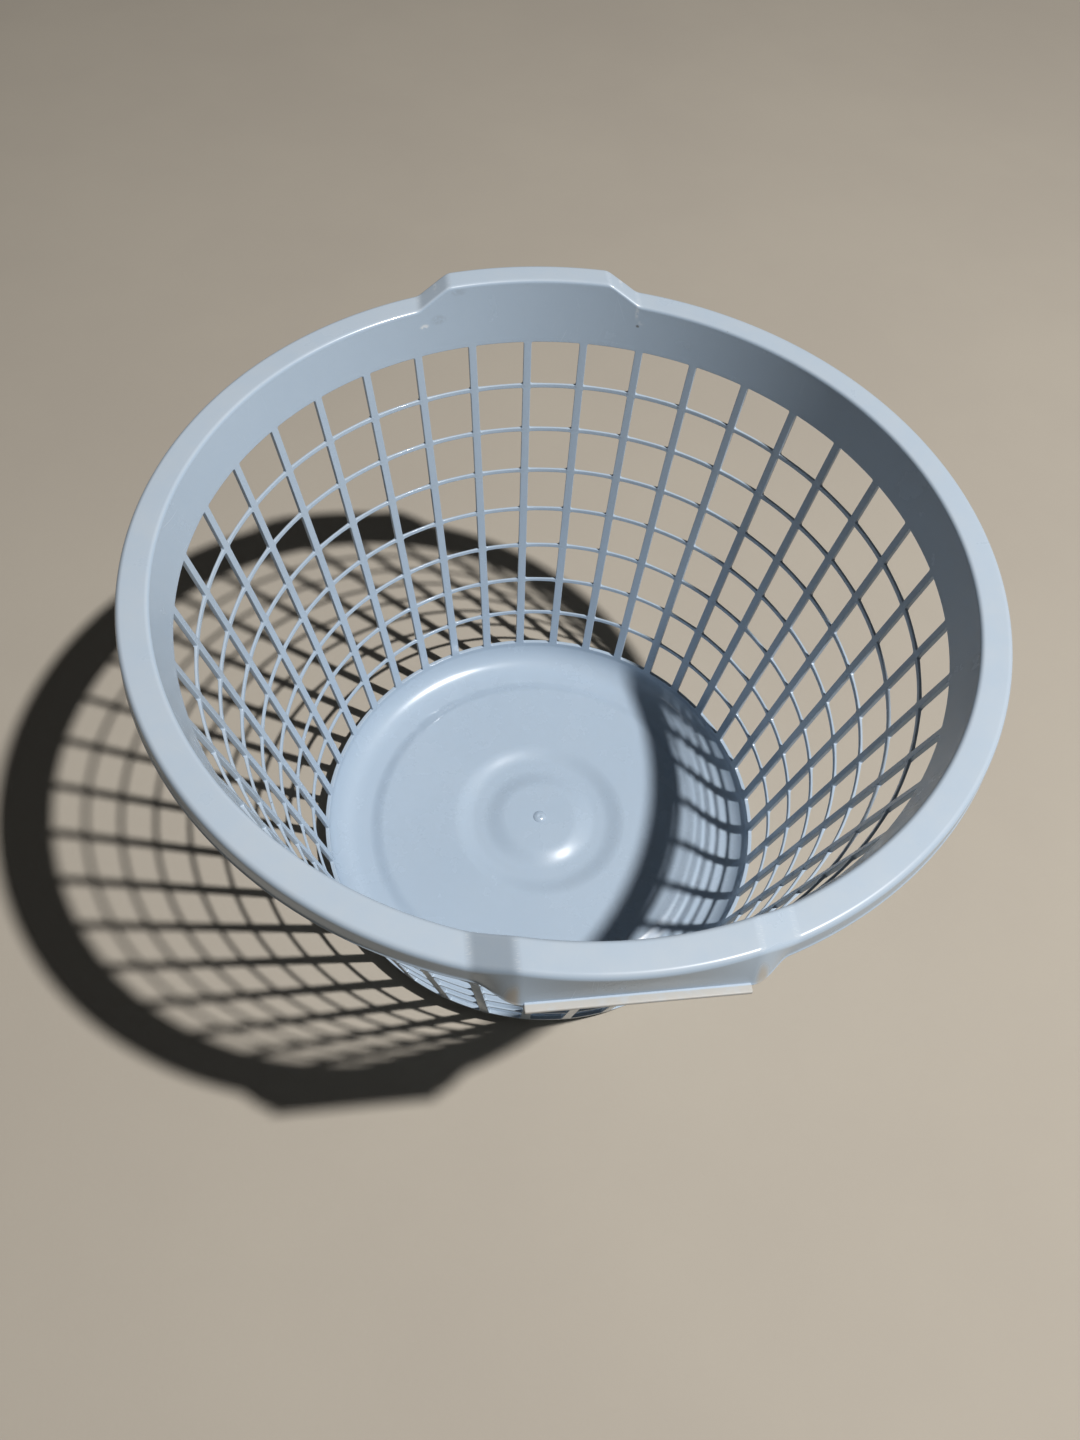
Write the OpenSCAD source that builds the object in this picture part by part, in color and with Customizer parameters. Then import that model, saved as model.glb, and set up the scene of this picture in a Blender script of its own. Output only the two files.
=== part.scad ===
// Round tapered laundry basket with an openwork wall and two raised grips.
// Millimetres, +Z up. The origin is on the floor under the middle of the basket.
// The grips lie on the +Y and -Y sides. The real basket is one moulding: the
// nodes below are its regions, and they meet face to face without overlapping.

/* [Body] */
// Radius of the rim over its outer corner
rim_r = 240; // [236:1:250]
// Inside radius of the wall at the top of the rim
mouth_r = 223; // [215:1:226]
// Inside radius of the wall at floor level
base_r = 156.6; // [150:0.1:165]
// Height of the rim's flat top above the floor
rim_h = 311; // [300:1:325]
// Thickness of the solid bands and the upright ribs
wall_t = 2.8; // [2.4:0.1:3.2]

/* [Openwork] */
// Height at which the openings begin
grid_bottom = 19; // [17:0.5:24]
// Height at which the openings end
grid_top = 281; // [270:1:288]
// Number of upright ribs, a multiple of four
rib_count = 36; // [32:4:40]
// Width of a rib where it meets the upper band
rib_w_top = 5.2; // [4:0.1:6]
// Width of a rib where it meets the lower band
rib_w_bottom = 6.4; // [5:0.1:7]
// Height of one hoop
hoop_h = 2.8; // [1.8:0.1:3.4]
// Thickness of a hoop, across the wall
hoop_t = 1.5; // [1.2:0.1:2]
// Distance of a hoop's inner face behind the ribs' inner face
hoop_setback = 0.5; // [0.3:0.1:0.8]

/* [Rim] */
// Thickness of the flat top of the rim
flange_t = 2.6; // [2.2:0.1:3]
// Radius of the rim's rounded inner edge
inner_edge_r = 2.5; // [2:0.1:2.6]
// Radius of the rim's rounded outer corner
outer_edge_r = 3.2; // [3:0.1:3.5]
// Depth of the outer skirt below the rim's top
skirt_h = 12; // [10:0.5:14]
// Thickness of the skirt
skirt_t = 2.2; // [2:0.1:2.4]
// Outward flare of the skirt at its lower edge
skirt_flare = 1.2; // [0.8:0.1:1.6]
// Height of the short wall that joins the rim to the upper band
rim_root_h = 5; // [4:0.5:6]

/* [Grips] */
// Rise of a grip above the rim
grip_rise = 11; // [8:0.5:14]
// Half of a grip's level length, along X
grip_half_l = 50.2; // [46:0.1:54]
// Distance along X over which the rim climbs to a grip
ramp_l = 24.3; // [22:0.1:28]
// Share of the climb that each of its two rounded folds takes
fold_share = 0.2; // [0.1:0.05:0.4]
// Distance from the middle of the basket to the flat face of a grip's skirt
grip_face_y = 242.4; // [241.5:0.1:244]
// Distance beyond a grip's level part over which its skirt runs back to the rim's
skirt_return_l = 20; // [16:0.5:22]
// Width of the lip that turns out at the foot of a grip's skirt
lip_w = 3.8; // [3:0.1:5]
// Thickness of the lip, and height of the upright strip along the skirt's foot
lip_t = 2; // [1.6:0.1:2.4]

/* [Floor] */
// Thickness of the floor
floor_t = 2.3; // [2:0.1:2.6]
// Rise of the panel's edge above the gutter that runs round it
panel_rise = 3; // [2.4:0.1:3.4]
// Further rise of the panel from its edge to the ring groove
panel_dome = 1.8; // [1.4:0.1:2.2]
// Radius of the panel
panel_r = 120; // [112:1:122]
// Width of the slope between the panel and the gutter
panel_slope_w = 12; // [10:1:16]
// Radius of the turn from the floor up to the wall, inside
corner_r = 22; // [20:0.5:24]
// Radius of the same turn on the outside
foot_r = 22.3; // [21.5:0.1:24]
// Height at which the turn meets the wall
corner_top = 15; // [14:0.1:15.5]
// Radius of the ring groove's outer edge
groove_outer_r = 67; // [66.5:0.5:70]
// Width of the groove's outer side
groove_bank_w = 17; // [15:0.5:21]
// Width of the groove's inner side, which climbs to the plateau
plateau_side_w = 18; // [15:0.5:21]
// Radius of the plateau inside the ring groove
plateau_r = 26; // [20:0.5:28]
// Depth of the ring groove
groove_depth = 3.7; // [3:0.1:4]
// Radius of the moulding gate's nub in the middle of the floor
nub_r = 5; // [3:0.5:6]
// Height of the nub
nub_h = 1.8; // [1:0.1:2.4]

/* [Hidden] */
$fn = 144;
plastic_blue = [0.70, 0.78, 0.88];
hoop_count = 7;
row_count = hoop_count + 1;
row_pitch = (grid_top - grid_bottom + hoop_h) / row_count;
wall_slope = (mouth_r - base_r) / rim_h;
band_top = rim_h - rim_root_h;
panel_top = floor_t + panel_rise;
dish_top = panel_top + panel_dome;
groove_floor_top = dish_top - groove_depth;
skirt_foot = rim_h - skirt_h;
skirt_foot_r = rim_r + skirt_flare;
ramp_end = grip_half_l + ramp_l;
// Steps in each quarter-round edge, along each grip and along each shoulder
edge_steps = 4;
grip_steps = 20;
shoulder_steps = 12;

// Inside radius of the tapered wall at height z
function wall_r(z) = base_r + wall_slope * z;

// Horizontal reach of an arc that starts level, at a height above its start
function arc_reach(radius, height) = sqrt(height * (2 * radius - height));

// Radii at which the turn from the floor to the wall starts, inside and outside
corner_foot_in = wall_r(corner_top) - arc_reach(corner_r, corner_top - floor_t);
corner_foot_out = wall_r(corner_top) + wall_t - arc_reach(foot_r, corner_top);

// Points along an arc in a section, from angle a to angle b
function arc_points(centre, radius, a, b, steps) = [
    for (i = [0:steps])
        let (angle = a + (b - a) * i / steps)
        centre + radius * [cos(angle), sin(angle)]
];

// Section of the rim, in radius and height: the wall's top, the flat flange and the
// skirt that hangs from it. lift is the height above the plain rim.
function rim_section(lift) =
    let (
        top = rim_h + lift,
        under = top - flange_t,
        outer_r = rim_r + wall_slope * lift,
        inner_centre = [wall_r(top - inner_edge_r) + inner_edge_r, top - inner_edge_r],
        outer_centre = [outer_r - outer_edge_r, top - outer_edge_r]
    )
    concat(
        [[wall_r(band_top), band_top]],
        arc_points(inner_centre, inner_edge_r, 180, 90, edge_steps),
        arc_points(outer_centre, outer_edge_r, 90, 0, edge_steps),
        [
            [skirt_foot_r, skirt_foot + lip_t],
            [skirt_foot_r, skirt_foot],
            [skirt_foot_r - skirt_t, skirt_foot],
            [outer_r - skirt_t, under],
            [wall_r(under) + wall_t, under],
            [wall_r(band_top) + wall_t, band_top]
        ]
    );

// Places of the section's points, counted from 0: the last ones of its two rounded
// edges and the innermost one of the skirt's foot
inner_end = edge_steps + 1;
outer_end = inner_end + edge_steps + 1;
foot_inner = outer_end + 3;

// The same section as four convex parts, each a list of the section's points by number:
// the wall's top, the flange, the outer corner and the skirt
section_parts = [
    [for (j = [0:inner_end]) j, foot_inner + 2, foot_inner + 3],
    [inner_end, inner_end + 1, foot_inner + 1, foot_inner + 2],
    [for (j = [inner_end + 1:outer_end]) j, foot_inner + 1],
    [for (j = [outer_end:foot_inner + 1]) j]
];

// Smooth climb from 0 to 1, level at both ends
function ease(t) = t * t * (3 - 2 * t);

// Straight climb from 0 to 1 with its two folds rounded
function ramp(t) =
    t < fold_share ? t * t / (2 * fold_share * (1 - fold_share)) :
    t > 1 - fold_share ? 1 - ramp(1 - t) :
    (t - fold_share / 2) / (1 - fold_share);

// Share of the way from one x to another, kept between 0 and 1
function share(x, from, to) = max(0, min(1, (x - from) / (to - from)));

// Distance along Y to the outer face of the skirt's foot: flat on a grip, and
// running back to the rim's circle beyond it
function foot_y(x) =
    let (
        round_y = sqrt(skirt_foot_r * skirt_foot_r - x * x),
        back = ease(share(abs(x), grip_half_l, grip_half_l + skirt_return_l))
    )
    grip_face_y + (round_y - grip_face_y) * back;

// Ring of points where the rim meets the upright plane at x, on the +Y side
function rim_ring(x) =
    let (
        lift = grip_rise * (1 - ramp(share(abs(x), grip_half_l, ramp_end))),
        section = rim_section(lift)
    )
    [
        for (j = [0:len(section) - 1])
            let (
                round_y = sqrt(section[j][0] * section[j][0] - x * x),
                skirt_y = foot_y(x) - (j == foot_inner ? skirt_t : 0),
                on_foot = j > outer_end && j <= foot_inner
            )
            [x, on_foot ? skirt_y : round_y, section[j][1]]
    ];

// A list in the opposite order
function backwards(list) = [for (j = [len(list) - 1:-1:0]) list[j]];

// Stretch of the rim on the +Y side, from one x to a greater one
module rim_stretch(x_first, x_last, steps) {
    rings = [for (i = [0:steps]) rim_ring(x_first + (x_last - x_first) * i / steps)];
    count = len(rings[0]);
    sides = [
        for (i = [0:steps - 1])
            for (j = [0:count - 1])
                let (k = (j + 1) % count)
                [i * count + j, i * count + k, (i + 1) * count + k, (i + 1) * count + j]
    ];
    first_end = [for (part = section_parts) backwards(part)];
    last_end = [for (part = section_parts) [for (j = part) steps * count + j]];
    polyhedron(
        points = [for (ring = rings) each ring],
        faces = concat(sides, first_end, last_end),
        convexity = 6
    );
}

// Tapered shell between two heights, over the thickness of the wall
module wall_shell(z_low, z_high) {
    rotate_extrude()
        polygon([
            [wall_r(z_low), z_low],
            [wall_r(z_low) + wall_t, z_low],
            [wall_r(z_high) + wall_t, z_high],
            [wall_r(z_high), z_high]
        ]);
}

// Radial cutter with a rib's outline, for the rib at an angle
module rib_outline(angle) {
    rotate([0, 0, angle])
        rotate([90, 0, 90])
            linear_extrude(height = rim_r)
                polygon([
                    [-rib_w_bottom / 2, grid_bottom],
                    [rib_w_bottom / 2, grid_bottom],
                    [rib_w_top / 2, grid_top],
                    [-rib_w_top / 2, grid_top]
                ]);
}

// Ribs of one side, centred on an angle round the axis
module rib_group(centre_angle) {
    per_side = rib_count / 4;
    pitch = 360 / rib_count;
    color(plastic_blue)
        intersection() {
            wall_shell(grid_bottom, grid_top);
            for (i = [0:per_side - 1])
                rib_outline(centre_angle + (i - floor(per_side / 2)) * pitch);
        }
}

// One hoop, numbered from the top, broken where the ribs stand
module hoop(number) {
    z = grid_top - number * row_pitch + hoop_h / 2;
    inner = wall_r(z) + hoop_setback;
    color(plastic_blue)
        difference() {
            rotate_extrude()
                translate([inner, z - hoop_h / 2])
                    square([hoop_t, hoop_h]);
            for (i = [0:rib_count - 1])
                rib_outline(i * 360 / rib_count);
        }
}

// Panel that rises gently from its edge to the ring groove
module floor_panel() {
    color(plastic_blue)
        rotate_extrude()
            polygon([
                [groove_outer_r, dish_top],
                [panel_r, panel_top],
                [panel_r, panel_top - floor_t],
                [groove_outer_r, dish_top - floor_t]
            ]);
}

// Plateau, with the ring groove round it
module centre_dish() {
    foot_r = plateau_r + plateau_side_w;
    bank_r = groove_outer_r - groove_bank_w;
    color(plastic_blue)
        rotate_extrude()
            polygon([
                [0, dish_top],
                [plateau_r, dish_top],
                [foot_r, groove_floor_top],
                [bank_r, groove_floor_top],
                [groove_outer_r, dish_top],
                [groove_outer_r, dish_top - floor_t],
                [bank_r, groove_floor_top - floor_t],
                [foot_r, groove_floor_top - floor_t],
                [plateau_r, dish_top - floor_t],
                [0, dish_top - floor_t]
            ]);
}

// Cap of a sphere on the plateau
module gate_nub() {
    ball_r = (nub_r * nub_r + nub_h * nub_h) / (2 * nub_h);
    color(plastic_blue)
        intersection() {
            translate([0, 0, dish_top + nub_h - ball_r])
                sphere(ball_r);
            translate([0, 0, dish_top])
                cylinder(h = nub_h, r = nub_r + 1);
        }
}

// Slope down from the panel and the flat gutter, which rests on the floor
module floor_gutter() {
    gutter_r = panel_r + panel_slope_w;
    color(plastic_blue)
        rotate_extrude()
            polygon([
                [panel_r, panel_top],
                [gutter_r, floor_t],
                [corner_foot_in, floor_t],
                [corner_foot_in, 0],
                [gutter_r, 0],
                [panel_r, panel_top - floor_t]
            ]);
}

// Round turn from the gutter up to the wall
module base_corner() {
    color(plastic_blue)
        rotate_extrude()
            difference() {
                union() {
                    intersection() {
                        translate([corner_foot_out, foot_r])
                            circle(foot_r);
                        translate([corner_foot_out, 0])
                            square([foot_r, corner_top]);
                    }
                    translate([corner_foot_in, 0])
                        square([corner_foot_out - corner_foot_in, corner_top]);
                }
                translate([corner_foot_in, floor_t + corner_r])
                    circle(corner_r);
            }
}

module lower_band() {
    color(plastic_blue)
        wall_shell(corner_top, grid_bottom);
}

module upper_band() {
    color(plastic_blue)
        wall_shell(grid_top, band_top);
}

// Plain part of the rim, on the +X side after a turn about the axis
module rim_side(turn) {
    color(plastic_blue)
        rotate([0, 0, turn])
            intersection() {
                rotate_extrude()
                    polygon(rim_section(0));
                translate([ramp_end + rim_r / 2, 0, rim_h])
                    cube([rim_r, 3 * rim_r, rim_h], center = true);
            }
}

// Level part of the grip on the +Y side after a turn about the axis
module grip(turn) {
    color(plastic_blue)
        rotate([0, 0, turn])
            rim_stretch(-grip_half_l, grip_half_l, grip_steps);
}

// Stretches in which the rim climbs to the two grips
module grip_shoulders() {
    color(plastic_blue)
        for (turn = [0, 180])
            rotate([0, 0, turn]) {
                rim_stretch(-ramp_end, -grip_half_l, shoulder_steps);
                rim_stretch(grip_half_l, ramp_end, shoulder_steps);
            }
}

// Straight lip that turns out from the foot of a grip's skirt
module grip_lip(turn) {
    color(plastic_blue)
        rotate([0, 0, turn])
            translate([-grip_half_l, grip_face_y, skirt_foot])
                cube([2 * grip_half_l, lip_w, lip_t]);
}

floor_panel();
centre_dish();
gate_nub();
floor_gutter();
base_corner();
lower_band();
rib_group(0);  // ribs_right
rib_group(90);  // ribs_back
rib_group(180);  // ribs_left
rib_group(270);  // ribs_front
hoop(1);  // hoop_1
hoop(2);  // hoop_2
hoop(3);  // hoop_3
hoop(4);  // hoop_4
hoop(5);  // hoop_5
hoop(6);  // hoop_6
hoop(7);  // hoop_7
upper_band();
rim_side(0);  // rim_right
rim_side(180);  // rim_left
grip(0);  // grip_back
grip(180);  // grip_front
grip_shoulders();
grip_lip(0);  // grip_lip_back
grip_lip(180);  // grip_lip_front
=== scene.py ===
"""A round openwork laundry basket in light blue plastic, standing on a plain pale floor.

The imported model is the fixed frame, and the basket is rigid, so every piece rides on its one body, "root".
The real basket is one moulding. The pieces here are its regions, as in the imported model: each one is a
closed solid that meets its neighbours face to face, with shared shading, so that no seam shows.
Lengths are in metres and angles in degrees.
"""

import math

import bpy
import numpy as np
from mathutils import Matrix, Vector


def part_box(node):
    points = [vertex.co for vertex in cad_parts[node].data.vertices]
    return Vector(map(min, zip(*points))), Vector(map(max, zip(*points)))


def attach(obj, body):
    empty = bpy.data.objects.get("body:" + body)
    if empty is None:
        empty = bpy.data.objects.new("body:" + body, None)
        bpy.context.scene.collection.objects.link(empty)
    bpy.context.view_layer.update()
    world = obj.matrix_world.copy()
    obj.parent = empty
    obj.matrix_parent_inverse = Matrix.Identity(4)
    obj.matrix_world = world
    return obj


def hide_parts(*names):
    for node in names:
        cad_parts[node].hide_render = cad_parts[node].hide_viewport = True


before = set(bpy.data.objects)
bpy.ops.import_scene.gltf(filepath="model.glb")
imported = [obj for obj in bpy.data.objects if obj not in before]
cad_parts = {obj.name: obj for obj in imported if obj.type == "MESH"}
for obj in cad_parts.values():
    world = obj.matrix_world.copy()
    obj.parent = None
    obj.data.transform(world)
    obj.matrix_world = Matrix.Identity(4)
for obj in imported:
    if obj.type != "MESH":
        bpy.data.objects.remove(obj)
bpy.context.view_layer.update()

MM = 0.001

# ---------------------------------------------------------------------------------------------
# Sizes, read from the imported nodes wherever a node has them
# ---------------------------------------------------------------------------------------------

RIB_NODES = ["ribs_right", "ribs_back", "ribs_left", "ribs_front"]
HOOP_NODES = [f"hoop_{number}" for number in range(1, 8)]
RIB_COUNT = 36
PITCH = 360 / RIB_COUNT

WALL_T = 2.8 * MM
BAND_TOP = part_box("upper_band")[1].z
GRID_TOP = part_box("upper_band")[0].z
GRID_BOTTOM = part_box("lower_band")[1].z
CORNER_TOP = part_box("lower_band")[0].z
HOOP_Z = [(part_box(name)[0].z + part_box(name)[1].z) / 2 for name in HOOP_NODES]
HOOP_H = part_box("hoop_1")[1].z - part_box("hoop_1")[0].z
HOOP_SETBACK = 0.5 * MM
HOOP_T = 1.5 * MM
HOOP_BACK = WALL_T - HOOP_SETBACK - HOOP_T
RIB_W_TOP = 5.2 * MM
RIB_W_BOTTOM = 6.4 * MM

RIM_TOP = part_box("rim_right")[1].z
RIM_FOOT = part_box("rim_right")[0].z
SKIRT_FLARE = 1.2 * MM
SKIRT_T = 2.2 * MM
FLANGE_T = 2.6 * MM
INNER_EDGE_R = 2.5 * MM
OUTER_EDGE_R = 3.2 * MM
RIM_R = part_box("rim_right")[1].x - SKIRT_FLARE

GRIP_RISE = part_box("grip_back")[1].z - RIM_TOP
GRIP_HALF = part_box("grip_lip_back")[1].x
RAMP_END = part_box("grip_shoulders")[1].x
GRIP_FACE_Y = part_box("grip_lip_back")[0].y
FOLD_SHARE = 0.2
SKIRT_RETURN = 20 * MM
LIP_LOW, LIP_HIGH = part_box("grip_lip_back")

DISH_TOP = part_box("floor_panel")[1].z
PANEL_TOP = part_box("floor_gutter")[1].z
PANEL_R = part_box("floor_panel")[1].x
FLOOR_T = PANEL_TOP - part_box("floor_panel")[0].z
GUTTER_TOP = FLOOR_T
SLOPE_W = 12 * MM
CORNER_R = 22 * MM
FOOT_R = 22.3 * MM
DISH_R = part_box("centre_dish")[1].x
BANK_W = 17 * MM
PLATEAU_SIDE_W = 18 * MM
GROOVE_DEPTH = 3.7 * MM
PLATEAU_R = 26 * MM
NUB_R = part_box("gate_nub")[1].x
NUB_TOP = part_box("gate_nub")[1].z

BAND_HIGH_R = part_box("upper_band")[1].x - WALL_T
BAND_LOW_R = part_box("lower_band")[1].x - WALL_T
WALL_SLOPE = (BAND_HIGH_R - BAND_LOW_R) / (BAND_TOP - GRID_BOTTOM)

# Radius of the openings' rounded edges, how far the openwork's mesh reaches into the solid
# bands, and the number of stations round the basket
EDGE_R = 0.5 * MM
BAND_MARGIN = 3.2 * MM
RING_STEPS = RIB_COUNT * 8


def wall_r(z):
    """Inside radius of the tapered wall at height z."""
    return BAND_LOW_R + WALL_SLOPE * (z - GRID_BOTTOM)


def rib_half(z):
    """Half of a rib's width at height z."""
    share = (z - GRID_BOTTOM) / (GRID_TOP - GRID_BOTTOM)
    return (RIB_W_BOTTOM + (RIB_W_TOP - RIB_W_BOTTOM) * share) / 2


def ease(t):
    """Smooth climb from 0 to 1, level at both ends."""
    t = min(max(t, 0.0), 1.0)
    return t * t * (3 - 2 * t)


def ramp(t):
    """Straight climb from 0 to 1 with its two folds rounded."""
    t = min(max(t, 0.0), 1.0)
    if t > 0.5:
        return 1 - ramp(1 - t)
    if t < FOLD_SHARE:
        return t * t / (2 * FOLD_SHARE * (1 - FOLD_SHARE))
    return (t - FOLD_SHARE / 2) / (1 - FOLD_SHARE)


def arc(centre, radius, start, end, steps):
    """Points along an arc in a flat section, from angle start to angle end."""
    angles = [math.radians(start + (end - start) * i / steps) for i in range(steps + 1)]
    return [(centre[0] + radius * math.cos(a), centre[1] + radius * math.sin(a)) for a in angles]


def between(a, b, steps):
    """Points strictly between two points, which divide the way in equal steps."""
    return [tuple(p + (q - p) * i / steps for p, q in zip(a, b)) for i in range(1, steps)]


def around(r, z, angle):
    """The point at radius r and height z, at an angle round the basket's axis."""
    a = math.radians(angle)
    return (r * math.cos(a), r * math.sin(a), z)


# ---------------------------------------------------------------------------------------------
# Meshes
# ---------------------------------------------------------------------------------------------


def face_normals(points, faces):
    """Normals of three or four-cornered faces, as long as twice their area, and the corners' numbers."""
    corners = np.array([face if len(face) == 4 else (*face, face[-1]) for face in faces])
    a, b, c, d = (points[corners[:, k]] for k in range(4))
    return np.cross(c - a, d - b), corners


def smooth_normals(points, faces):
    """Normal of each point, weighted by area: a wide flat face stays flat beside a small round edge."""
    normals = np.zeros((len(points), 3))
    along, corners = face_normals(points, faces)
    for k in range(4):
        np.add.at(normals, corners[:, k], along)
    return normals / np.maximum(np.linalg.norm(normals, axis=1, keepdims=True), 1e-20)


def make_piece(name, points, normals, smooth, flat, nodes):
    """A moulded piece of smooth faces, with flat ones at its joins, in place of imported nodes."""
    used = sorted({i for face in smooth + flat for i in face})
    renumber = {old: new for new, old in enumerate(used)}
    mesh = bpy.data.meshes.new(name)
    mesh.from_pydata(
        points[used].tolist(), [], [[renumber[i] for i in face] for face in smooth + flat]
    )
    corner_normals = [normals[i] for face in smooth for i in face]
    if flat:
        along, _ = face_normals(points, flat)
        along /= np.maximum(np.linalg.norm(along, axis=1, keepdims=True), 1e-20)
        corner_normals += [normal for normal, face in zip(along, flat) for _ in face]
    mesh.polygons.foreach_set("use_smooth", [True] * len(mesh.polygons))
    mesh.normals_split_custom_set([tuple(n) for n in corner_normals])
    piece = bpy.data.objects.new(name, mesh)
    bpy.context.collection.objects.link(piece)
    piece.data.materials.append(PLASTIC)
    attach(piece, "root")
    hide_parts(*nodes)


class Shell:
    """A thin skin that runs all the way round the basket, and can be cut into pieces.

    Each station round the axis is a pair of lines, the inside or top one and the outside or under one,
    with their points in pairs. closed_end says that the lines' last points are joined by a face that shows.
    """

    def __init__(self, stations, closed_end=False):
        self.stations = len(stations)
        self.rows = len(stations[0][0])
        self.closed_end = closed_end
        self.on_axis = stations[0][0][0][:2] == (0, 0)
        self.points = np.array([point for pair in stations for line in pair for point in line])
        everything = self.skin(range(self.stations), 0, self.rows - 1)
        self.normals = smooth_normals(self.points, everything)

    def at(self, station, row, line):
        """Number of the point of a line (0 or 1) at a station and row."""
        station = 0 if self.on_axis and row == 0 else station % self.stations
        return (station * 2 + line) * self.rows + row

    def quad(self, *corners):
        """Face through corners given as (station, row, line): a triangle where two of them are one."""
        return tuple(dict.fromkeys(self.at(*corner) for corner in corners))

    def skin(self, stations, first, last):
        """The faces that show, between two rows."""
        faces = []
        for i in stations:
            for j in range(first, last):
                faces.append(self.quad((i, j, 0), (i, j + 1, 0), (i + 1, j + 1, 0), (i + 1, j, 0)))
                faces.append(self.quad((i, j, 1), (i + 1, j, 1), (i + 1, j + 1, 1), (i, j + 1, 1)))
            if self.closed_end and last == self.rows - 1:
                faces.append(self.quad((i, last, 0), (i, last, 1), (i + 1, last, 1), (i + 1, last, 0)))
        return faces

    def joints(self, stations, first, last):
        """The faces that close a piece where it was cut from its neighbours."""
        faces = []
        for i in stations:
            if not (self.on_axis and first == 0):
                faces.append(self.quad((i, first, 0), (i + 1, first, 0), (i + 1, first, 1), (i, first, 1)))
            if not (self.closed_end and last == self.rows - 1):
                faces.append(self.quad((i, last, 0), (i, last, 1), (i + 1, last, 1), (i + 1, last, 0)))
        if len(stations) < self.stations:
            a, b = stations[0], stations[-1] + 1
            for j in range(first, last):
                faces.append(self.quad((a, j, 0), (a, j, 1), (a, j + 1, 1), (a, j + 1, 0)))
                faces.append(self.quad((b, j, 0), (b, j + 1, 0), (b, j + 1, 1), (b, j, 1)))
        return faces

    def piece(self, name, nodes, runs=None, rows=None):
        """Cut out one piece: runs are its ranges of stations, and rows its first and last row."""
        runs = runs or [range(self.stations)]
        first, last = rows or (0, self.rows - 1)
        smooth = [face for run in runs for face in self.skin(run, first, last)]
        flat = [face for run in runs for face in self.joints(run, first, last)]
        make_piece(name, self.points, self.normals, smooth, flat, nodes)


def turned(angles, section):
    """Shell with the same section, a pair of lines in radius and height, all the way round."""
    return Shell([[[around(r, z, angle) for r, z in line] for line in section] for angle in angles])


RING = [360 * i / RING_STEPS for i in range(RING_STEPS)]

# ---------------------------------------------------------------------------------------------
# Openwork: upright ribs and level hoops, one sheet with a rounded opening in each cell
# ---------------------------------------------------------------------------------------------

# Steps round an opening's corner and along its side, and the corners' radii at a band and a hoop
CORNER_STEPS = 4
SIDE_STEPS = 4
BAND_CORNER_R = 1.0 * MM
HOOP_CORNER_R = 0.9 * MM
# How far into a hoop from a rib, and up a rib from a hoop, the two thicknesses blend
BLEND_RUN = 1.4 * MM
# The opening's edge from the inner face to the outer one: share of the edge radius that the loop
# stands off the opening, depth in edge radii, and the face that the depth is measured from
EDGE_LOOPS = [
    (1.0, 0.0, "inner"),
    (0.4, 0.12, "inner"),
    (0.1, 0.45, "inner"),
    (0.0, 1.0, "inner"),
    (0.0, 1.0, "outer"),
    (0.1, 0.45, "outer"),
    (0.4, 0.12, "outer"),
    (1.0, 0.0, "outer"),
]


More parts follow.
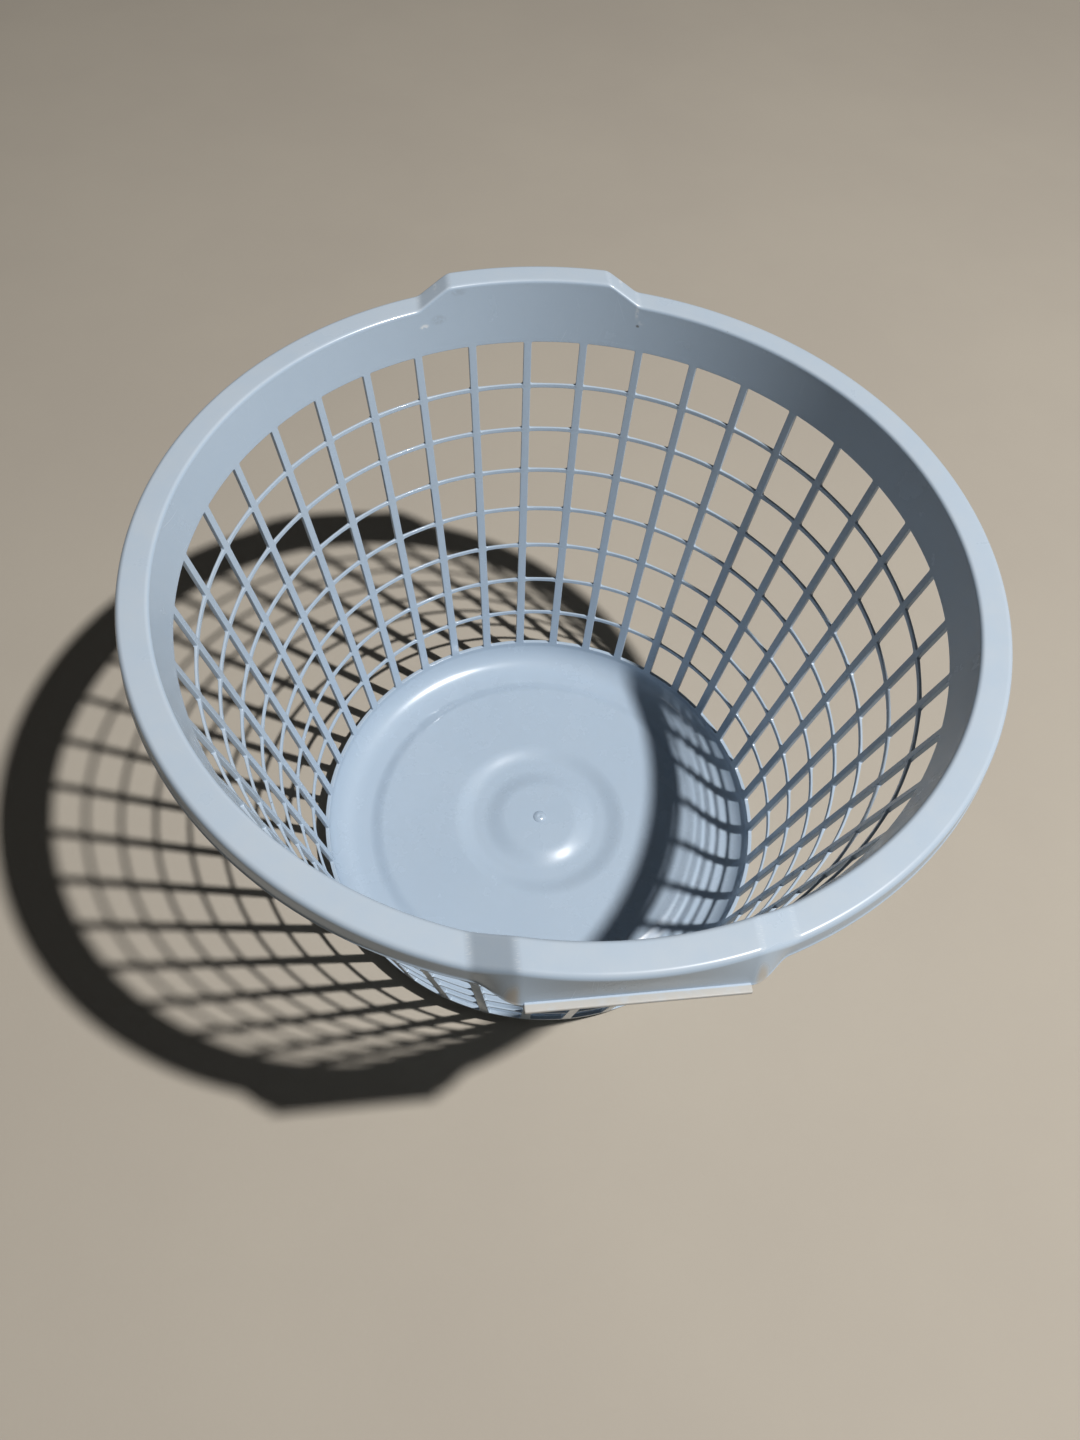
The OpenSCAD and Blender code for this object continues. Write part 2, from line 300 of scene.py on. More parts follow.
class Row:
    """One row of openings, between two hoops or between a hoop and a solid band."""

    def __init__(self, z_low, z_high, band_low, band_high):
        self.z_low, self.z_high = z_low, z_high
        self.hoops = [z for z, band in ((z_low, band_low), (z_high, band_high)) if not band]
        self.open_low = z_low + (BAND_MARGIN if band_low else HOOP_H / 2)
        self.open_high = z_high - (BAND_MARGIN if band_high else HOOP_H / 2)
        self.r_low = BAND_CORNER_R if band_low else HOOP_CORNER_R
        self.r_high = BAND_CORNER_R if band_high else HOOP_CORNER_R

    def chord(self, z):
        """Width of a cell, from rib to rib, at height z."""
        return math.radians(PITCH) * wall_r(z)

    def opening(self, grow):
        """Outline of the opening, larger all round by grow: shares of the cell's width, and heights."""
        middle = (self.z_low + self.z_high) / 2
        width = self.chord(middle) - 2 * rib_half(middle)
        left, right = -grow, width + grow
        low, high = self.open_low - grow, self.open_high + grow
        r_low, r_high = self.r_low + grow, self.r_high + grow
        corners = [
            arc((right - r_low, low + r_low), r_low, 270, 360, CORNER_STEPS),
            arc((right - r_high, high - r_high), r_high, 0, 90, CORNER_STEPS),
            arc((left + r_high, high - r_high), r_high, 90, 180, CORNER_STEPS),
            arc((left + r_low, low + r_low), r_low, 180, 270, CORNER_STEPS),
        ]
        outline = self.joined(corners)
        fitted = []
        for x, z in outline:
            side = rib_half(z) / self.chord(z)
            fitted.append((side + x / width * (1 - 2 * side), z))
        return fitted

    def border(self):
        """The cell's own outline, with a point for each point of the opening's."""
        start_low = (rib_half(self.z_low) + self.r_low) / self.chord(self.z_low)
        start_high = (rib_half(self.z_high) + self.r_high) / self.chord(self.z_high)
        side_low, side_high = self.open_low + self.r_low, self.open_high - self.r_high
        corners = [
            self.elbow((1 - start_low, self.z_low), (1, self.z_low), (1, side_low)),
            self.elbow((1, side_high), (1, self.z_high), (1 - start_high, self.z_high)),
            self.elbow((start_high, self.z_high), (0, self.z_high), (0, side_high)),
            self.elbow((0, side_low), (0, self.z_low), (start_low, self.z_low)),
        ]
        return self.joined(corners)

    def elbow(self, a, corner, b):
        """Points from a to b through a corner, as many as an opening's round corner has."""
        half = CORNER_STEPS // 2
        return [a] + between(a, corner, half) + [corner] + between(corner, b, half) + [b]

    def joined(self, corners):
        """A closed outline: its corners, and the points of the straight sides between them."""
        outline = []
        for corner, following in zip(corners, corners[1:] + corners[:1]):
            outline += corner + between(corner[-1], following[0], SIDE_STEPS)
        return outline

    def on_hoop(self, share, z):
        """How far a point is on a hoop, from 0 on a rib or a band to 1."""
        from_rib = min(share, 1 - share) * self.chord(z) - rib_half(z)
        off_hoop = min((abs(z - hoop) for hoop in self.hoops), default=1.0) - HOOP_H / 2
        return ease(from_rib / BLEND_RUN) * ease(1 - off_hoop / BLEND_RUN)

    def front(self, share, z):
        """Depth of the inner face behind the ribs' inner face: the hoops lie a little back."""
        return HOOP_SETBACK * self.on_hoop(share, z)

    def back(self, share, z):
        """Depth of the outer face behind the ribs' inner face: the hoops are thinner than the ribs."""
        return WALL_T - HOOP_BACK * self.on_hoop(share, z)

    def loops(self):
        """Closed loops over the cell's solid part, from its inner face's border round to the outer one's."""
        border = self.border()
        yield [(share, z, self.front(share, z)) for share, z in border]
        for stand_off, depth, face in EDGE_LOOPS:
            outline = self.opening(stand_off * EDGE_R)
            if face == "inner":
                yield [(share, z, self.front(share, z) + depth * EDGE_R) for share, z in outline]
            else:
                yield [(share, z, self.back(share, z) - depth * EDGE_R) for share, z in outline]
        yield [(share, z, self.back(share, z)) for share, z in border]


def build_openwork():
    """The ribs and hoops as one sheet, whose cells share the points along their borders."""
    lines = [GRID_BOTTOM - BAND_MARGIN] + sorted(HOOP_Z) + [GRID_TOP + BAND_MARGIN]
    rows = [
        Row(low, high, band_low=low == lines[0], band_high=high == lines[-1])
        for low, high in zip(lines, lines[1:])
    ]
    points, number_of, faces, rims = [], {}, [], []

    def point(turn, z, depth):
        """Number of a point, shared by the cells that meet there."""
        key = (round(turn % 1.0 * 1e8), round(z * 1e8), round(depth * 1e8))
        if key not in number_of:
            number_of[key] = len(points)
            points.append(around(wall_r(z) + depth, z, 360 * turn))
        return number_of[key]

    for row in rows:
        loops = list(row.loops())
        for cell in range(RIB_COUNT):
            numbered = [
                [point((cell + share) / RIB_COUNT, z, depth) for share, z, depth in loop]
                for loop in loops
            ]
            for a, b in zip(numbered, numbered[1:]):
                for j in range(len(a)):
                    k = (j + 1) % len(a)
                    faces.append((a[j], b[j], b[k], a[k]))
            inner, outer = numbered[0], numbered[-1]
            for j in range(len(inner)):
                k = (j + 1) % len(inner)
                heights = {loops[0][j][1], loops[0][k][1]}
                if heights in ({lines[0]}, {lines[-1]}):
                    rims.append((inner[j], inner[k], outer[k], outer[j]))
    points = np.array(points)
    make_piece(
        "openwork_moulding", points, smooth_normals(points, faces), faces, rims, RIB_NODES + HOOP_NODES
    )


# ---------------------------------------------------------------------------------------------
# Solid bands and floor
# ---------------------------------------------------------------------------------------------


def build_upper_band():
    """The solid band between the openings and the rim."""
    heights = [GRID_TOP + BAND_MARGIN + (BAND_TOP - GRID_TOP - BAND_MARGIN) * i / 4 for i in range(5)]
    inside = [(wall_r(z), z) for z in heights]
    outside = [(wall_r(z) + WALL_T, z) for z in heights]
    turned(RING, (inside, outside)).piece("upper_band_moulding", ["upper_band"])


def floor_height(r):
    """Height of the floor's upper surface: plateau, ring groove, panel and the slope to the gutter."""
    into_groove = ease((r - PLATEAU_R) / PLATEAU_SIDE_W)
    out_of_groove = ease((r - DISH_R + BANK_W) / BANK_W)
    down_panel = min(max((r - DISH_R) / (PANEL_R - DISH_R), 0.0), 1.0)
    down_slope = ease((r - PANEL_R) / SLOPE_W)
    return (
        DISH_TOP
        - GROOVE_DEPTH * (into_groove - out_of_groove)
        - (DISH_TOP - PANEL_TOP) * down_panel
        - (PANEL_TOP - GUTTER_TOP) * down_slope
    )


def spaced(start, end, steps):
    """Radii from start up to, but not including, end."""
    return [start + (end - start) * i / steps for i in range(steps)]


def level_start(radius, height, end):
    """An arc that starts level and ends at the given point, height above its start: centre, last angle."""
    reach = math.sqrt(height * (2 * radius - height))
    angle = 270 + math.degrees(math.acos((radius - height) / radius))
    return (end[0] - reach, end[1] - height + radius), angle


def build_base():
    """Floor, turn and lower band, as one skin cut into its pieces."""
    inside_end = (wall_r(CORNER_TOP), CORNER_TOP)
    outside_end = (wall_r(CORNER_TOP) + WALL_T, CORNER_TOP)
    inside_centre, inside_angle = level_start(CORNER_R, CORNER_TOP - FLOOR_T, inside_end)
    outside_centre, outside_angle = level_start(FOOT_R, CORNER_TOP, outside_end)
    gutter_end = inside_centre[0]
    radii = spaced(0, PLATEAU_R, 4)
    radii += spaced(PLATEAU_R, PLATEAU_R + PLATEAU_SIDE_W, 12)
    radii += spaced(PLATEAU_R + PLATEAU_SIDE_W, DISH_R, 13)
    dish_end = len(radii)
    radii += spaced(DISH_R, PANEL_R, 8)
    panel_end = len(radii)
    radii += spaced(PANEL_R, PANEL_R + SLOPE_W, 10) + spaced(PANEL_R + SLOPE_W, gutter_end, 3)
    gutter_end_row = len(radii)
    inside = [(r, floor_height(r)) for r in radii]
    outside = [(r, z - FLOOR_T) for r, z in inside]

    inside += arc(inside_centre, CORNER_R, 270, inside_angle, 12)
    outside += arc(outside_centre, FOOT_R, 270, outside_angle, 12)
    corner_end = len(inside) - 1
    band_end_z = GRID_BOTTOM - BAND_MARGIN
    inside.append((wall_r(band_end_z), band_end_z))
    outside.append((wall_r(band_end_z) + WALL_T, band_end_z))

    base = turned(RING, (inside, outside))
    base.piece("centre_dish_moulding", ["centre_dish"], rows=(0, dish_end))
    base.piece("floor_panel_moulding", ["floor_panel"], rows=(dish_end, panel_end))
    base.piece("floor_gutter_moulding", ["floor_gutter"], rows=(panel_end, gutter_end_row))
    base.piece("base_corner_moulding", ["base_corner"], rows=(gutter_end_row, corner_end))
    base.piece("lower_band_moulding", ["lower_band"], rows=(corner_end, corner_end + 1))


def build_gate_nub():
    """The nub that the moulding gate left: a low dome with a dimple, let a little into the plateau."""
    height, sunk = NUB_TOP - DISH_TOP, 0.5 * MM
    ball_r = (NUB_R**2 + height**2) / (2 * height)
    half_angle = math.degrees(math.asin(NUB_R / ball_r))
    dome = arc((0, NUB_TOP - ball_r), ball_r, 90, 90 - half_angle, 12)
    dimple, dimple_r = 0.35 * height, 0.45 * NUB_R
    inside = [(abs(r), z - dimple * (1 - ease(r / dimple_r))) for r, z in dome]
    inside[0] = (0, inside[0][1])
    inside.append((NUB_R, DISH_TOP - sunk))
    outside = [(r, DISH_TOP - sunk) for r, z in inside]
    angles = [360 * i / 48 for i in range(48)]
    turned(angles, (inside, outside)).piece("gate_nub_moulding", ["gate_nub"], rows=(0, 12))


# ---------------------------------------------------------------------------------------------
# Rim and grips
# ---------------------------------------------------------------------------------------------

# Radii of the fillets under the flange and of the edges at the skirt's foot
UNDER_FILLET_R = 1.0 * MM
FOOT_EDGE_R = 0.7 * MM
# A fine bead runs along the skirt's foot, and stands out from the face above it
BEAD_OUT = 0.6 * MM
BEAD_TOP = RIM_FOOT + 1.7 * MM
SKIRT_FOOT_R = RIM_R + SKIRT_FLARE


class RimStation:
    """A cut through the plain rim, a share of the way round from one ramp's end to the next."""

    lift = 0.0

    def __init__(self, side, share):
        self.side, self.share = side, share

    def place(self, r, z):
        """The point at a radius and height of the rim's section."""
        half = math.degrees(math.acos(RAMP_END / r))
        return around(r, z, self.side + half * (2 * self.share - 1))

    def foot(self, offset, z):
        """The point at a distance outside the face of the skirt's foot, and a height."""
        return self.place(SKIRT_FOOT_R + offset, z)


class GripStation:
    """A cut through a grip or its shoulder by the upright plane at x, or that turned to the -Y side."""

    def __init__(self, turn, x):
        self.turn, self.x = turn, x
        off = abs(x) - GRIP_HALF
        self.lift = GRIP_RISE * (1 - ramp(off / (RAMP_END - GRIP_HALF)))
        round_y = math.sqrt(SKIRT_FOOT_R**2 - x * x)
        self.foot_y = GRIP_FACE_Y + (round_y - GRIP_FACE_Y) * ease(off / SKIRT_RETURN)

    def place(self, r, z):
        """The point at a radius and height of the rim's section."""
        return (self.turn * self.x, self.turn * math.sqrt(r * r - self.x * self.x), z)

    def foot(self, offset, z):
        """The point at a distance outside the face of the skirt's foot, and a height."""
        return (self.turn * self.x, self.turn * (self.foot_y + offset), z)


def rim_lines(station):
    """The rim's two lines at a station: one over the wall's top, the flange and the skirt, one beneath."""
    top = RIM_TOP + station.lift
    under = top - FLANGE_T
    outer_r = RIM_R + WALL_SLOPE * station.lift
    bead_top = station.foot(-BEAD_OUT, BEAD_TOP)
    corner = station.place(outer_r, top - OUTER_EDGE_R)
    lean = math.degrees(math.atan2(math.dist(corner[:2], bead_top[:2]), corner[2] - bead_top[2]))

    def placed(section):
        return [station.place(r, z) for r, z in section]

    inner_centre = (wall_r(top - INNER_EDGE_R) + INNER_EDGE_R, top - INNER_EDGE_R)
    inside_edge = arc(inner_centre, INNER_EDGE_R, 180, 90, 6)
    outside_edge = arc((outer_r - OUTER_EDGE_R, top - OUTER_EDGE_R), OUTER_EDGE_R, 90, lean, 8)
    root = (wall_r(BAND_TOP), BAND_TOP)
    over = placed(
        [root] + between(root, inside_edge[0], 4)
        + inside_edge + between(inside_edge[-1], outside_edge[0], 4)
        + outside_edge
    )
    bead = arc((-FOOT_EDGE_R, RIM_FOOT + FOOT_EDGE_R), FOOT_EDGE_R, 50, -90, 6)
    over += between(over[-1], bead_top, 6) + [bead_top]
    over += [station.foot(offset, z) for offset, z in bead]

    wall_face, skirt_face = wall_r(under) + WALL_T, outer_r - SKIRT_T
    fillet_z = under - UNDER_FILLET_R
    inner_fillet = arc((wall_face + UNDER_FILLET_R, fillet_z), UNDER_FILLET_R, 180, 90, 6)
    outer_fillet = arc((skirt_face - UNDER_FILLET_R, fillet_z), UNDER_FILLET_R, 90, lean, 8)
    under_root = (wall_r(BAND_TOP) + WALL_T, BAND_TOP)
    beneath = placed(
        [under_root] + between(under_root, inner_fillet[0], 4)
        + inner_fillet + between(inner_fillet[-1], outer_fillet[0], 4)
        + outer_fillet
    )
    inner_foot = arc((FOOT_EDGE_R - SKIRT_T, RIM_FOOT + FOOT_EDGE_R), FOOT_EDGE_R, 180, 270, 6)
    inner_foot = [station.foot(offset, z) for offset, z in inner_foot]
    beneath += between(beneath[-1], inner_foot[0], 7) + inner_foot
    return over, beneath


def build_rim():
    """Rim, grips and shoulders, as one closed ring of stations cut into its pieces."""
    shoulder_steps, grip_steps, rim_steps = 24, 26, 116
    stations, runs = [], {"shoulder": [], "grip": [], "rim": []}

    def stretch(kind, made):
        runs[kind].append(range(len(stations), len(stations) + len(made)))
        stations.extend(made)

    for turn, side in ((1, 180), (-1, 0)):
        down = [GripStation(turn, x) for x in spaced(RAMP_END, GRIP_HALF, shoulder_steps)]
        level = [GripStation(turn, x) for x in spaced(GRIP_HALF, -GRIP_HALF, grip_steps)]
        up = [GripStation(turn, x) for x in spaced(-GRIP_HALF, -RAMP_END, shoulder_steps)]
        stretch("shoulder", down)
        stretch("grip", level)
        stretch("shoulder", up)
        stretch("rim", [RimStation(side, share) for share in spaced(0, 1, rim_steps)])
    rim = Shell([rim_lines(station) for station in stations], closed_end=True)
    rim.piece("grip_back_moulding", ["grip_back"], [runs["grip"][0]])
    rim.piece("grip_front_moulding", ["grip_front"], [runs["grip"][1]])
    rim.piece("rim_left_moulding", ["rim_left"], [runs["rim"][0]])
    rim.piece("rim_right_moulding", ["rim_right"], [runs["rim"][1]])
    rim.piece("grip_shoulders_moulding", ["grip_shoulders"], runs["shoulder"])


def build_grip_lip(name, node, turn):
    """The lip at the foot of a grip's skirt: a straight bar with rounded edges, let into the skirt."""
    edge, sunk = 0.7 * MM, 1.4 * MM
    half, inner_y = LIP_HIGH.x, LIP_LOW.y - sunk
    insets = [(half, edge), (half - 0.3 * edge, 0.3 * edge), (half - edge, 0.0)]
    stations = [(-x, inset) for x, inset in insets] + list(reversed(insets))
    points = []
    for x, inset in stations:
        high, low, out = LIP_HIGH.z - inset, LIP_LOW.z + inset, LIP_HIGH.y - inset
        section = [(inner_y, high)] + arc((out - edge, high - edge), edge, 90, 0, 4)
        section += arc((out - edge, low + edge), edge, 0, -90, 4) + [(inner_y, low)]
        points += [(turn * x, turn * y, z) for y, z in section]
    points, count, last = np.array(points), len(section), len(stations) - 1
    faces = []
    for i in range(last):
        a, b = i * count, (i + 1) * count
        for j in range(count):
            k = (j + 1) % count
            faces.append((a + j, b + j, b + k, a + k))
    ends = []
    far = last * count
    for j in range(count // 2 - 1):
        k = count - 1 - j
        ends.append((j, j + 1, k - 1, k))
        ends.append((far + j, far + k, far + k - 1, far + j + 1))
    make_piece(name, points, smooth_normals(points, faces), faces, ends, [node])


# ---------------------------------------------------------------------------------------------
# Materials
# ---------------------------------------------------------------------------------------------

BLUE = (0.465, 0.57, 0.69, 1)
BLUE_DEEP = (0.45, 0.555, 0.675, 1)
DUST = (0.66, 0.66, 0.64, 1)
WHITENED = (0.78, 0.82, 0.86, 1)
CREAM = (0.50, 0.47, 0.415, 1)
# Dark grey for specks of dirt and for the painted shade on the back grip's shoulder
GRIME_AND_SHADE = (0.15, 0.15, 0.15, 1)

# Marks of use round the back grip, and painted shade on its -X shoulder: the middle and the half sizes of
# each in mm, and its strength
LIGHT_MARKS = [
    ((-69.2, 209.6, 300.2), (4.2, 4.0, 2.0), 0.75),
    ((70.6, 210.8, 306.5), (1.6, 5.0, 6.5), 0.45),
    ((73.6, 208.3, 300.6), (2.6, 4.0, 2.0), 0.40),
    ((-61.0, 228.0, 316.5), (1.6, 9.0, 4.0), 0.35),
    ((61.0, 230.0, 317.0), (2.0, 9.0, 5.0), 0.30),
]
# Dark ones: a small dot of dirt, then two broad faint patches of painted shade on the -X shoulder, which
# faces away from the key lamp
DARK_MARKS_AND_SHADE = [
    ((71.6, 208.2, 298.0), (1.5, 3.0, 1.3), 0.80),
    ((-59.7, 213.0, 302.7), (7.0, 6.0, 4.5), 0.16),
    ((-46.2, 219.7, 318.1), (7.0, 6.0, 3.0), 0.14),
]


class Shading:
    """Builds a material's node tree. An input may be a value or the output of another node."""

    def __init__(self, name):
        self.material = bpy.data.materials.new(name)
        self.material.use_nodes = True
        self.tree = self.material.node_tree
        self.shader = self.tree.nodes["Principled BSDF"]
        self.place = self.add("TexCoord").outputs["Object"]

    def feed(self, socket, value):
        """Link an output to a socket, or set the socket's value."""
        if isinstance(value, bpy.types.NodeSocket):
            self.tree.links.new(value, socket)
        else:
            socket.default_value = value

    def add(self, kind, inputs=None, **properties):
        """A node of a kind, its properties set by name and its inputs by name or number."""
        node = self.tree.nodes.new("ShaderNode" + kind)
        for name, value in properties.items():
            setattr(node, name, value)
        for key, value in (inputs or {}).items():
            self.feed(node.inputs[key], value)
        return node

    def math(self, operation, *values):
        """A sum, product or other function of numbers, kept as it comes."""
        return self.add("Math", dict(enumerate(values)), operation=operation).outputs[0]

    def limits(self, value, low, high, to_low=0.0, to_high=1.0):
        """A value moved smoothly from one pair of limits to another."""
        inputs = {"Value": value, "From Min": low, "From Max": high, "To Min": to_low, "To Max": to_high}
        return self.add("MapRange", inputs, interpolation_type="SMOOTHSTEP").outputs[0]

    def noise(self, scale, detail=2.0, roughness=0.5, stretch=None, turn=0.0):
        """Cloudy noise with a number of features per metre, stretched and turned where that is asked for."""
        place = self.place
        if stretch:
            turned_place = {"Vector": place, "Scale": stretch, "Rotation": (0, 0, math.radians(turn))}
            place = self.add("Mapping", turned_place, vector_type="TEXTURE").outputs[0]
        inputs = {"Vector": place, "Scale": scale, "Detail": detail, "Roughness": roughness}
        return self.add("TexNoise", inputs).outputs[0]

    def mix(self, share, a, b):
        """A colour between two colours."""
        return self.add("Mix", {0: share, 6: a, 7: b}, data_type="RGBA").outputs[2]

    def spot(self, middle, half_sizes):
        """1 in the middle of an ellipsoid, fading to 0 at its surface. Sizes are in mm."""
        off = self.add("VectorMath", {0: self.place, 1: Vector(middle) * MM}, operation="SUBTRACT")
        scaled = self.add(
            "VectorMath", {0: off.outputs[0], 1: Vector(half_sizes) * MM}, operation="DIVIDE"
        )
        reach = self.add("VectorMath", {0: scaled.outputs[0]}, operation="LENGTH").outputs["Value"]
        return self.limits(reach, 1.0, 0.3)


def add_marks(shading, color, marks, mark_color):
    """Blend small marks into a colour, with broken edges."""
    broken = shading.limits(shading.noise(420, 3), 0.35, 0.55)
    for middle, half_sizes, strength in marks:
        share = shading.math("MULTIPLY", shading.spot(middle, half_sizes), strength)
        share = shading.math("MULTIPLY", share, broken)
        color = shading.mix(share, color, mark_color)
    return color


def fold_whitening(shading, across, height, facing_up):
    """Stress whitening along the folds where the rim climbs to a grip."""
    upper = GRIP_HALF + FOLD_SHARE / 2 * (RAMP_END - GRIP_HALF)
    lower = RAMP_END - FOLD_SHARE / 2 * (RAMP_END - GRIP_HALF)
    total = 0.0
    for fold in (upper, lower):
        off = shading.math("ABSOLUTE", shading.math("SUBTRACT", across, fold))
        total = shading.math("ADD", shading.limits(off, 2.2 * MM, 0.2 * MM), total)
    streaks = shading.limits(shading.noise(300, 3, stretch=(1, 0.12, 0.25)), 0.5, 0.72)
    on_top = shading.math("MULTIPLY", shading.limits(height, BAND_TOP, RIM_TOP), facing_up)
    return shading.math("MULTIPLY", shading.math("MULTIPLY", total, streaks), on_top)


def corner_wear_and_highlight(shading, across, along, height):
    """Pale cream scuffs down the corners of a grip's skirt, partly painted highlight where a corner faces
    the key lamp, and pale cream all along the lip at its foot.
    """
    corner = shading.math("ABSOLUTE", shading.math("SUBTRACT", across, GRIP_HALF + 5 * MM))
    corner = shading.limits(corner, 4.5 * MM, 1.0 * MM)
    outside = shading.limits(along, GRIP_FACE_Y - 6 * MM, GRIP_FACE_Y - 3 * MM)
    low = shading.limits(height, RIM_TOP + 8 * MM, RIM_FOOT + 9 * MM)
    # Corner scuffs, partly painted highlight on the corner that faces the key lamp
    scuffed = shading.math("MULTIPLY", shading.math("MULTIPLY", corner, outside), low)
    lip = shading.limits(along, GRIP_FACE_Y, GRIP_FACE_Y + 0.6 * MM, 0.0, 0.9)
    worn_and_lit = shading.math("MAXIMUM", scuffed, lip)
    return shading.math("MULTIPLY", worn_and_lit, shading.limits(shading.noise(150, 4, 0.6), 0.1, 0.6, 0.5, 1.0))


def scratches(shading):
    """Fine scratches in three directions, gathered in patches."""
    patches = shading.limits(shading.noise(14, 3), 0.48, 0.68)
    total = 0.0
    for turn in (20, 75, 140):
        lines = shading.noise(30, 2, stretch=(1, 0.012, 1), turn=turn)
        total = shading.math("MAXIMUM", shading.limits(lines, 0.70, 0.78), total)
    return shading.math("MULTIPLY", total, patches)


def specks(shading):
    """A few specks of dirt, each under a millimetre across."""
    cells = shading.add("TexVoronoi", {"Vector": shading.place, "Scale": 16})
    return shading.limits(cells.outputs["Distance"], 0.014, 0.006)


def make_plastic():
    """Semi-gloss moulded polypropylene in powder blue, dusty on top and lightly scuffed, with painted shade
    and painted highlight in a few places round the grips.
    """
    shading = Shading("light_blue_plastic")
    axes = shading.add("SeparateXYZ", {0: shading.place}).outputs
    across, along = shading.math("ABSOLUTE", axes["X"]), shading.math("ABSOLUTE", axes["Y"])
    height = axes["Z"]
    normal = shading.add("NewGeometry").outputs["Normal"]
    facing_up = shading.limits(shading.add("SeparateXYZ", {0: normal}).outputs["Z"], 0.55, 0.95)

    tone = shading.limits(shading.noise(9, 4, 0.6), 0.3, 0.7)
    color = shading.mix(tone, BLUE_DEEP, BLUE)

    film = shading.limits(shading.noise(45, 6, 0.65), 0.25, 0.75, 0.5, 1.0)
    dust = shading.math("MULTIPLY", facing_up, film)
    dust = shading.math("MULTIPLY", dust, shading.limits(height, 0.1, RIM_TOP, 0.06, 0.26))
    color = shading.mix(dust, color, DUST)

    scuffs = scratches(shading)
    color = shading.mix(shading.math("MULTIPLY", scuffs, 0.12), color, WHITENED)
    folds = fold_whitening(shading, across, height, facing_up)
    color = shading.mix(shading.math("MULTIPLY", folds, 0.45), color, WHITENED)
    # Pale cream on the grip corners and lip: scuffs, with painted highlight on the corner lit by the key
    # lamp
    worn_and_lit = corner_wear_and_highlight(shading, across, along, height)
    color = shading.mix(shading.math("MULTIPLY", worn_and_lit, 0.85), color, CREAM)
    color = add_marks(shading, color, LIGHT_MARKS, WHITENED)
    # Dark marks: a dot of dirt and two patches of painted shade on the back grip's -X shoulder
    color = add_marks(shading, color, DARK_MARKS_AND_SHADE, GRIME_AND_SHADE)
    speckled = shading.math("MULTIPLY", specks(shading), facing_up)
    color = shading.mix(shading.math("MULTIPLY", speckled, 0.7), color, GRIME_AND_SHADE)

    roughness = shading.limits(shading.noise(30, 5, 0.6), 0.3, 0.7, 0.21, 0.28)
    roughness = shading.math("ADD", roughness, shading.math("MULTIPLY", dust, 0.35))
    for wear in (scuffs, worn_and_lit):
        roughness = shading.math("ADD", roughness, shading.math("MULTIPLY", wear, 0.15))

    skin = shading.noise(260, 3, 0.55)
    relief = shading.math("ADD", shading.math("MULTIPLY", scuffs, -0.6), skin)
    bump = shading.add("Bump", {"Strength": 0.3, "Distance": 0.03 * MM, "Height": relief}).outputs[0]

    shader = shading.shader
    shading.feed(shader.inputs["Base Color"], color)
    shading.feed(shader.inputs["Roughness"], roughness)
    shading.feed(shader.inputs["Normal"], bump)
    shader.inputs["IOR"].default_value = 1.49
    shader.inputs["Coat Weight"].default_value = 0.3
    shader.inputs["Coat Roughness"].default_value = 0.1
    return shading.material


def make_floor_material():
    """Plain pale floor with a faint, fine grain."""
    shading = Shading("pale_floor")
    tone = shading.limits(shading.noise(3, 6, 0.6), 0.3, 0.7)
    color = shading.mix(tone, (0.47, 0.435, 0.38, 1), (0.49, 0.455, 0.395, 1))
    grain = shading.noise(240, 4, 0.6)
    bump = shading.add("Bump", {"Strength": 0.25, "Distance": 0.3 * MM, "Height": grain}).outputs[0]
    shading.feed(shading.shader.inputs["Base Color"], color)
    shading.feed(shading.shader.inputs["Normal"], bump)
    shading.shader.inputs["Roughness"].default_value = 0.8
    return shading.material


PLASTIC = make_plastic()

# ---------------------------------------------------------------------------------------------
# The basket
# ---------------------------------------------------------------------------------------------

build_openwork()
build_upper_band()
build_base()
build_gate_nub()
build_rim()
build_grip_lip("grip_lip_back_moulding", "grip_lip_back", 1)
build_grip_lip("grip_lip_front_moulding", "grip_lip_front", -1)

# ---------------------------------------------------------------------------------------------
# Floor, lights and camera
# ---------------------------------------------------------------------------------------------


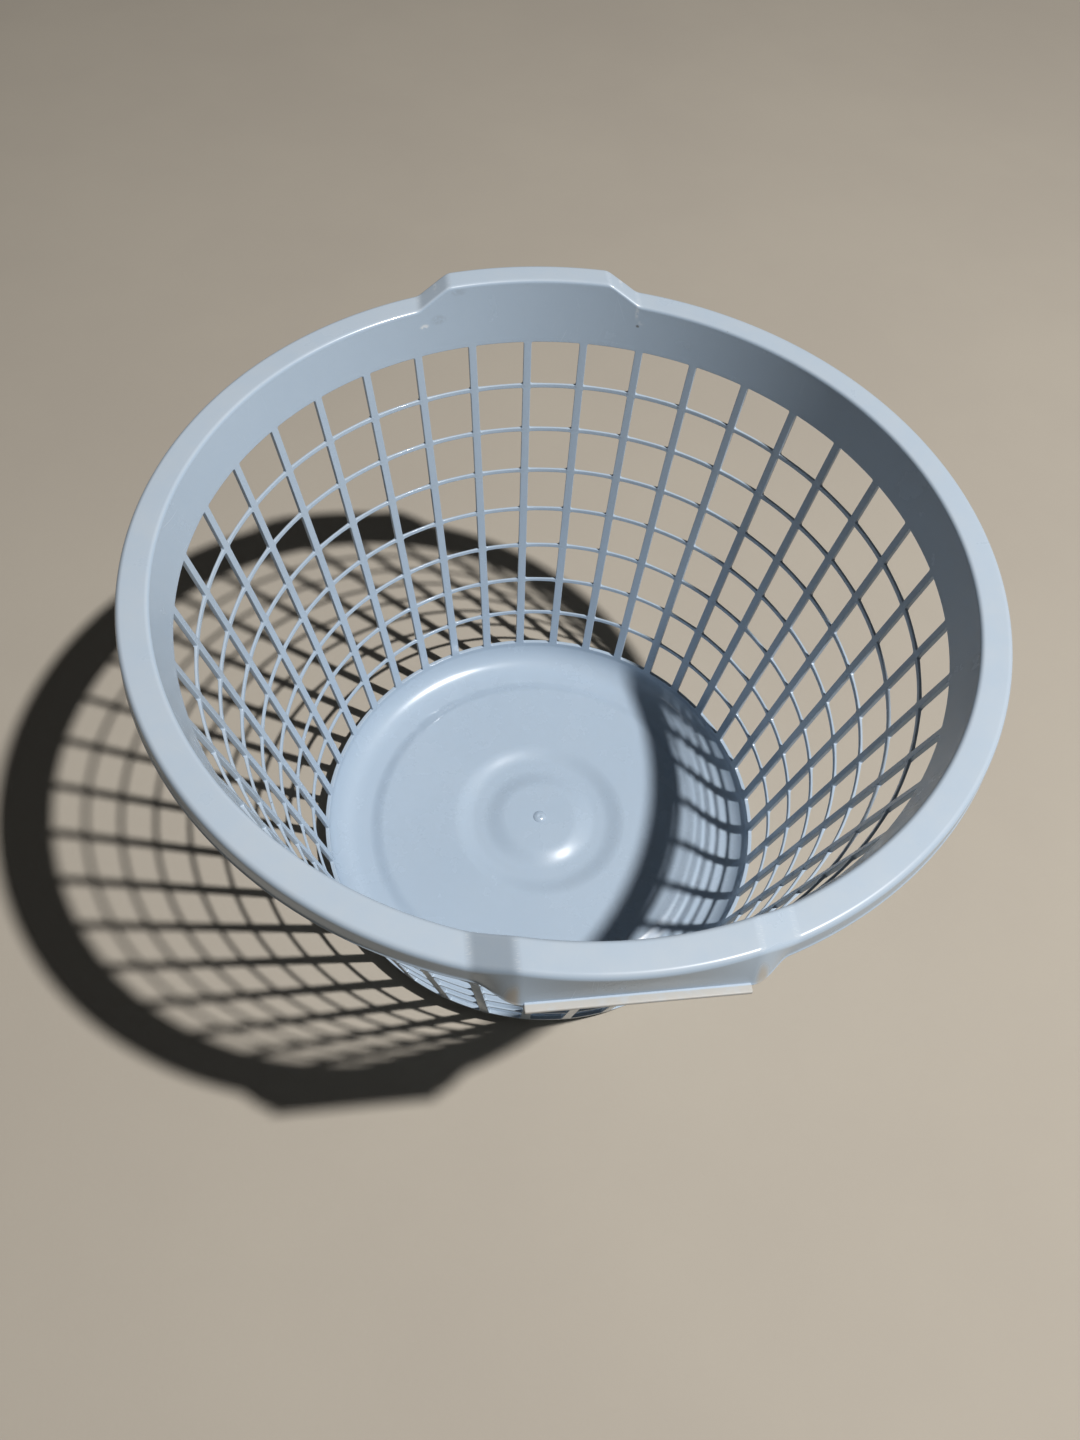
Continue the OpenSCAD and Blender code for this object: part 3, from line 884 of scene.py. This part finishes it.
def build_floor():
    """The ground, a wide flat square that isn't part of the basket."""
    half = 6.0
    corners = [(-half, -half, 0), (half, -half, 0), (half, half, 0), (-half, half, 0)]
    mesh = bpy.data.meshes.new("floor")
    mesh.from_pydata(corners, [], [(0, 1, 2, 3)])
    mesh.materials.append(make_floor_material())
    floor = bpy.data.objects.new("floor", mesh)
    bpy.context.collection.objects.link(floor)


def add_light(name, place, aim, size, power, color):
    """A round lamp that faces a point, with its power in watts."""
    light = bpy.data.lights.new(name, "AREA")
    light.shape = "DISK"
    light.size = size
    light.energy = power
    light.color = color
    lamp = bpy.data.objects.new(name, light)
    lamp.location = place
    lamp.rotation_euler = (Vector(aim) - Vector(place)).to_track_quat("-Z", "Y").to_euler()
    bpy.context.collection.objects.link(lamp)


def build_lights():
    """A key light high on the +X side, with weak fill all round."""
    aim = (0, 0, 0.16)
    add_light("key", (1.52, -0.68, 3.41), aim, size=0.14, power=152, color=(1.0, 0.97, 0.94))
    add_light("fill", (-1.6, -1.6, 2.6), aim, size=2.5, power=2, color=(0.97, 0.98, 1.0))
    world = bpy.data.worlds.new("studio")
    world.use_nodes = True
    background = world.node_tree.nodes["Background"]
    background.inputs["Color"].default_value = (1.0, 0.98, 0.95, 1)
    background.inputs["Strength"].default_value = 0.045
    scene = bpy.context.scene
    scene.world = world
    scene.view_settings.view_transform = "Standard"
    scene.view_settings.gamma = 0.88


def build_camera():
    """The camera stands before the near grip, a little to its left, and looks steeply down."""
    place = Vector((-0.0853, -0.3896, 0.7554))
    azimuth, pitch, roll = (math.radians(a) for a in (78.74, 56.88, 5.98))
    forward = Vector(
        (math.cos(azimuth) * math.cos(pitch), math.sin(azimuth) * math.cos(pitch), -math.sin(pitch))
    )
    level = forward.cross(Vector((0, 0, 1))).normalized()
    upright = level.cross(forward)
    right = math.cos(roll) * level + math.sin(roll) * upright
    up = math.cos(roll) * upright - math.sin(roll) * level
    data = bpy.data.cameras.new("camera")
    data.sensor_fit = "VERTICAL"
    data.sensor_height = 36
    data.lens = 27.1
    data.clip_start = 0.01
    camera = bpy.data.objects.new("camera", data)
    axes = Matrix((right, up, -forward)).transposed()
    camera.matrix_world = Matrix.Translation(place) @ axes.to_4x4()
    bpy.context.collection.objects.link(camera)
    bpy.context.scene.camera = camera


build_floor()
build_lights()
build_camera()
